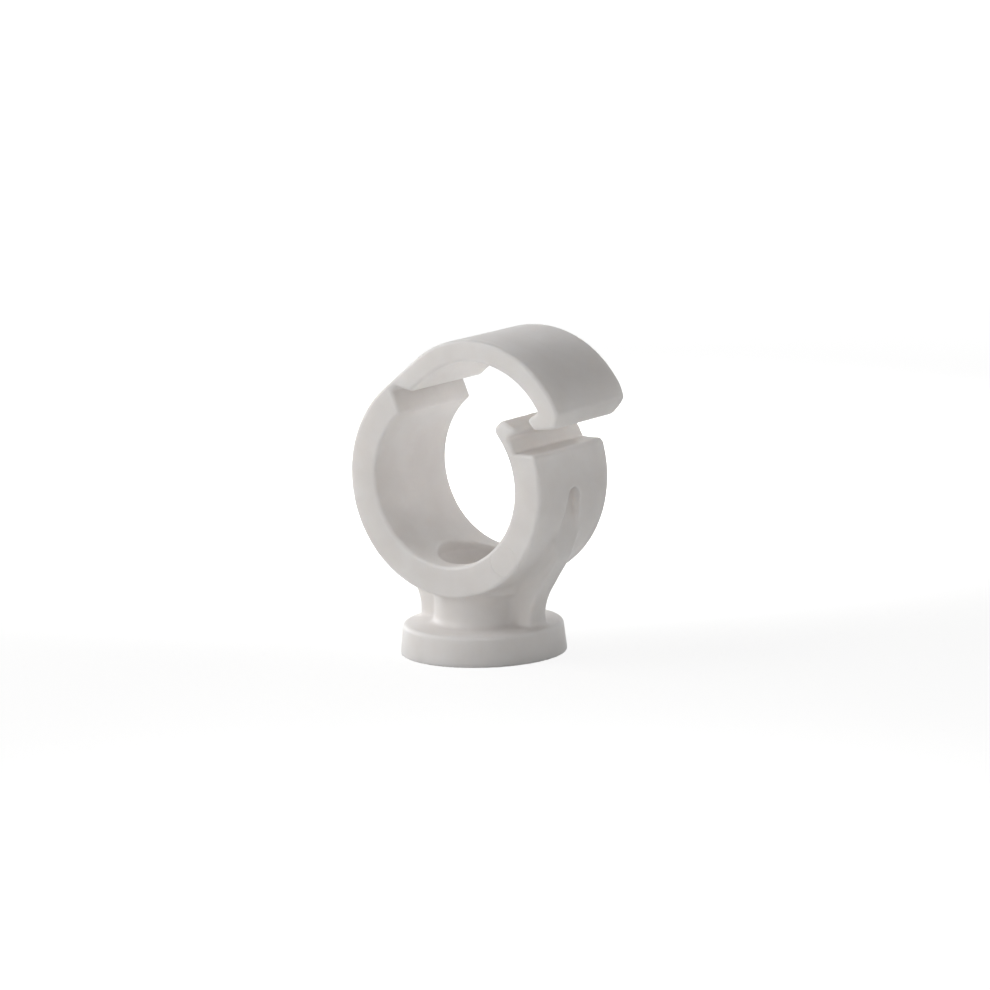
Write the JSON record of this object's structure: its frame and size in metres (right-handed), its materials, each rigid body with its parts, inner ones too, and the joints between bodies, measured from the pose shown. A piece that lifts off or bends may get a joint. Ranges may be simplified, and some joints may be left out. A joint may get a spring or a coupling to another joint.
{
  "type": "hinged pipe clip",
  "caption": "Moulded plastic clip that holds a small pipe off a wall: round screw-fixed foot, gusseted neck, split ring and a closing arm on a thin moulded hinge.",
  "frame": {"origin": "centre of the foot's underside, on the screw's axis", "axes": "+Z away from the wall, Y along the pipe, +X towards the side where the arm's tip closes"},
  "size_m": [0.0231, 0.0152, 0.0297],
  "materials": {
    "off_white_polypropylene": "satin moulded"
  },
  "bodies": {
    "clip": {"clip_body": "off_white_polypropylene", "hinge_web": "off_white_polypropylene"},
    "arm": {"closing_arm": "off_white_polypropylene"}
  },
  "joints": [
    {"name": "arm_hinge", "type": "hinge", "parent": "clip", "child": "arm", "pos_m": [-0.00547, 0, 0.02501], "axis": [0, -1, 0], "range_deg": [-8, 65], "stiffness_Nm_per_rad": 0.02, "deforming": ["hinge_web"]}
  ]
}
